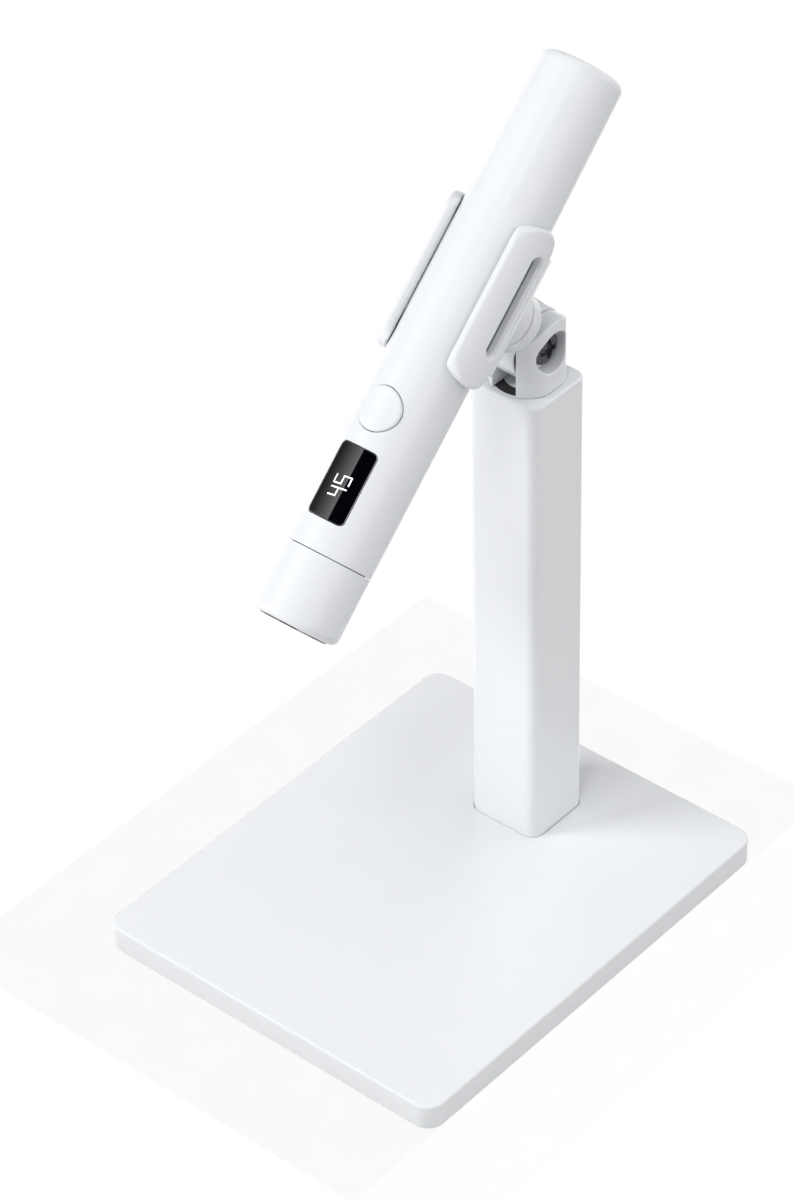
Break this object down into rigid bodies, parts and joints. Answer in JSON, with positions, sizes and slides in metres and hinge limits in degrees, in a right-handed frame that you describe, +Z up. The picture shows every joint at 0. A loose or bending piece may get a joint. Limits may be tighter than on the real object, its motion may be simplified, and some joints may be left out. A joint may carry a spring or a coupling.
{
  "type": "curing light on a stand",
  "caption": "Battery curing torch with a display window and a push button, held by a tilting spring clip on a square post over a flat rectangular base.",
  "frame": {"origin": "centre of the underside of the stand's base, on the surface it stands on", "axes": "+X to the right of someone who faces the stand, across it and along the tilt pivot; +Y from the front to the back, the post stands towards the back; +Z up the post"},
  "size_m": [0.131, 0.1595, 0.2786],
  "materials": {
    "white_plastic": "smooth glossy slightly cool white",
    "black_gloss": "polished black",
    "dark_rubber": "matt dark grey, fine grain",
    "pale_nylon": "natural nylon, satin",
    "plain_steel": "zinc plated, satin",
    "dark_steel": "dark zinc plated, satin",
    "mirror_bowl": "vacuum metallised mirror",
    "bare_aluminium": "turned, satin",
    "circuit_board": "green solder mask",
    "clear_lens": "clear, slightly violet",
    "led_package": "pale yellow phosphor under clear resin",
    "cell_sleeve": "blue shrink sleeve over a metal can"
  },
  "bodies": {
    "stand": {"base_shell": "white_plastic", "base_pad": "dark_rubber", "bottom_cover": "pale_nylon", "ballast_plate": "plain_steel", "cover_screw_1": "dark_steel", "cover_screw_2": "dark_steel", "cover_screw_3": "dark_steel", "cover_screw_4": "dark_steel", "post_screw_1": "dark_steel", "post_screw_2": "dark_steel", "post_tube": "white_plastic", "post_foot_block": "pale_nylon", "post_cap": "white_plastic", "pan_washer": "dark_rubber"},
    "fork": {"swivel_fork": "white_plastic", "pan_bolt": "dark_steel", "pan_nut": "plain_steel", "pivot_screw": "dark_steel", "pivot_nut": "plain_steel", "pivot_washer_left": "dark_rubber", "pivot_washer_right": "dark_rubber"},
    "knuckle": {"tilt_knuckle": "white_plastic", "swivel_washer": "pale_nylon", "swivel_screw": "dark_steel"},
    "clip": {"clip_collar": "white_plastic"},
    "torch": {"head_ring": "white_plastic", "lens_bezel": "black_gloss", "front_lens": "clear_lens", "reflector": "mirror_bowl", "led_board": "bare_aluminium", "led_1": "led_package", "led_2": "led_package", "led_3": "led_package", "heat_sink": "bare_aluminium", "seal_ring": "dark_rubber", "torch_barrel": "white_plastic", "display_window": "black_gloss", "display_module": "black_gloss", "main_board": "circuit_board", "tact_switch": "plain_steel", "battery_cell": "cell_sleeve", "battery_cradle": "pale_nylon", "front_contact": "plain_steel", "rear_contact": "plain_steel", "tail_plug": "white_plastic", "charge_socket": "plain_steel"},
    "button": {"button_cap": "white_plastic"}
  },
  "joints": [
    {"name": "pan", "type": "hinge", "parent": "stand", "child": "fork", "pos_m": [0, 0.046, 0.176], "axis": [0, 0, 1], "continuous": true},
    {"name": "tilt", "type": "hinge", "parent": "fork", "child": "knuckle", "pos_m": [0, 0.046, 0.1893], "axis": [1, 0, 0], "range_deg": [-50, 45]},
    {"name": "swivel", "type": "hinge", "parent": "knuckle", "child": "clip", "pos_m": [0, 0.04746, 0.19066], "axis": [0, -0.682, 0.7314], "range_deg": [-90, 90]},
    {"name": "torch_slide", "type": "slide", "parent": "clip", "child": "torch", "axis": [0, 0.7314, 0.682], "range_m": [-0.035, 0.11]},
    {"name": "button_press", "type": "slide", "parent": "torch", "child": "button", "axis": [0, 0.682, -0.7314], "range_m": [0, 0.0008], "stiffness_N_per_m": 300, "springref_m": -0.001}
  ]
}
